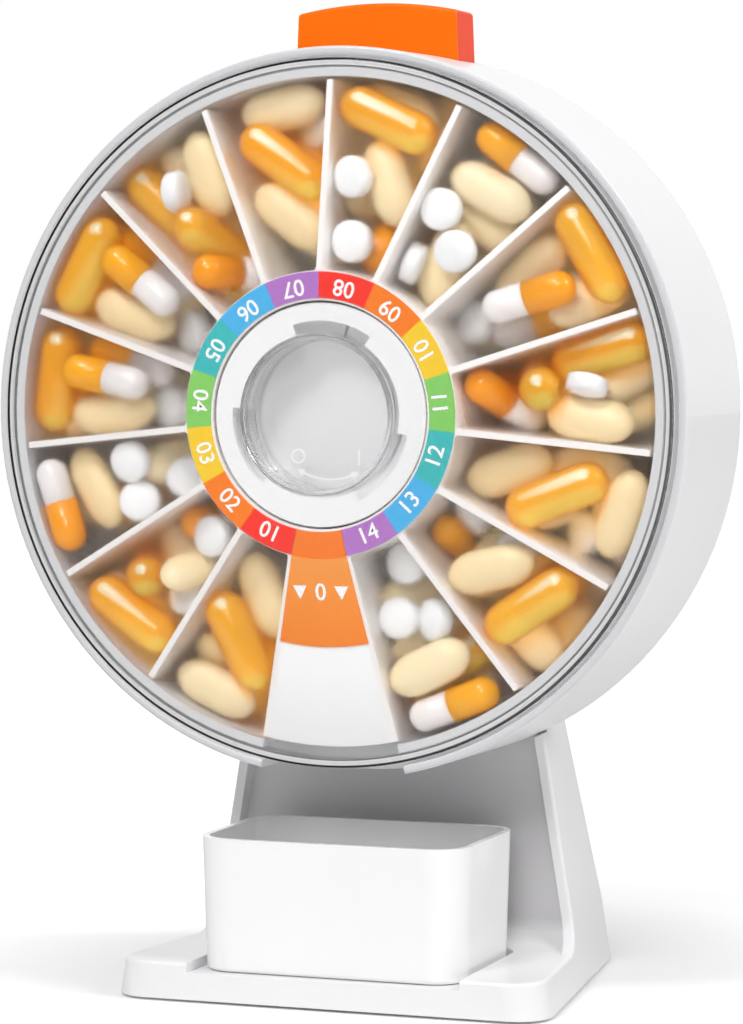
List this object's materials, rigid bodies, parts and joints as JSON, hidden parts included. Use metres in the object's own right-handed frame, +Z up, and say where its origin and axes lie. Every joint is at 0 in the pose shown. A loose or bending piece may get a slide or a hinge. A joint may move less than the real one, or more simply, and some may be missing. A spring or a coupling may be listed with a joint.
{
  "type": "automatic pill dispenser",
  "caption": "Round countertop pill dispenser: a top button turns a wheel of dose compartments under a clear cover, and pills drop into a tray on the foot.",
  "frame": {"origin": "on the table, in the middle of the overall width and depth", "axes": "+Z is up, +X is right seen from the front, and the front with the clear cover faces -Y"},
  "size_m": [0.1614, 0.09, 0.2217],
  "materials": {
    "white_shell": "satin moulded ABS",
    "tray_white": "satin moulded ABS",
    "wheel_white": "satin moulded polypropylene",
    "hub_white": "satin moulded ABS",
    "inner_plastic": "natural moulded ABS",
    "acetal": "natural acetal",
    "label_print": "fourteen printed colour fields on film",
    "start_orange": "orange printed film",
    "button_orange": "satin orange ABS",
    "clear_plastic": "clear polycarbonate",
    "zinc_steel": "zinc-plated",
    "spring_steel": "bright spring steel",
    "rubber": "matt rubber"
  },
  "bodies": {
    "case": {"base_stand": "white_shell", "base_plate": "white_shell", "base_screws": "zinc_steel", "rubber_pads": "rubber", "column_screws": "zinc_steel", "drum_housing": "white_shell", "guard_ring": "white_shell", "chassis_plate": "inner_plastic", "chassis_screws": "zinc_steel", "rear_cover": "white_shell", "rear_cover_screws": "zinc_steel", "hub_post": "hub_white", "lock_ring": "hub_white", "thrust_washer": "acetal", "spindle_screw": "zinc_steel", "detent_leaf": "spring_steel"},
    "button": {"push_button": "button_orange", "yoke": "inner_plastic", "yoke_screws": "zinc_steel", "pawl_pin": "zinc_steel", "return_spring_left": "spring_steel", "return_spring_right": "spring_steel"},
    "pawl": {"drive_pawl": "acetal"},
    "wheel": {"pill_wheel": "wheel_white", "wheel_dividers": "wheel_white", "label_ring": "label_print", "start_label": "start_orange", "ratchet_gear": "acetal", "gear_screws": "zinc_steel"},
    "cover": {"clear_cover": "clear_plastic", "cover_skirt": "clear_plastic"},
    "knob": {"lock_knob": "clear_plastic", "knob_lugs": "clear_plastic"},
    "tray": {"pill_tray": "tray_white"}
  },
  "joints": [
    {"name": "button_press", "type": "slide", "parent": "case", "child": "button", "axis": [0, 0, -1], "range_m": [0, 0.0096], "stiffness_N_per_m": 350, "springref_m": -0.004, "deforming": ["return_spring_left", "return_spring_right"]},
    {"name": "pawl_swing", "type": "hinge", "parent": "button", "child": "pawl", "pos_m": [-0.0247, -0.0044, 0.1488], "axis": [0, -1, 0], "range_deg": [0, 9.8]},
    {"name": "wheel_turn", "type": "hinge", "parent": "case", "child": "wheel", "pos_m": [0, -0.018, 0.1303], "axis": [0, -1, 0], "continuous": true},
    {"name": "cover_lift", "type": "slide", "parent": "case", "child": "cover", "axis": [0, -1, 0], "range_m": [0, 0.06]},
    {"name": "knob_turn", "type": "hinge", "parent": "cover", "child": "knob", "pos_m": [0, -0.04, 0.1303], "axis": [0, -1, 0], "range_deg": [0, 38]},
    {"name": "tray_pull", "type": "slide", "parent": "case", "child": "tray", "axis": [0, -1, 0], "range_m": [0, 0.08]}
  ],
  "couplings": [
    {"joint": "pawl_swing", "follows": "button_press", "rad_per_m": 17.817}
  ]
}
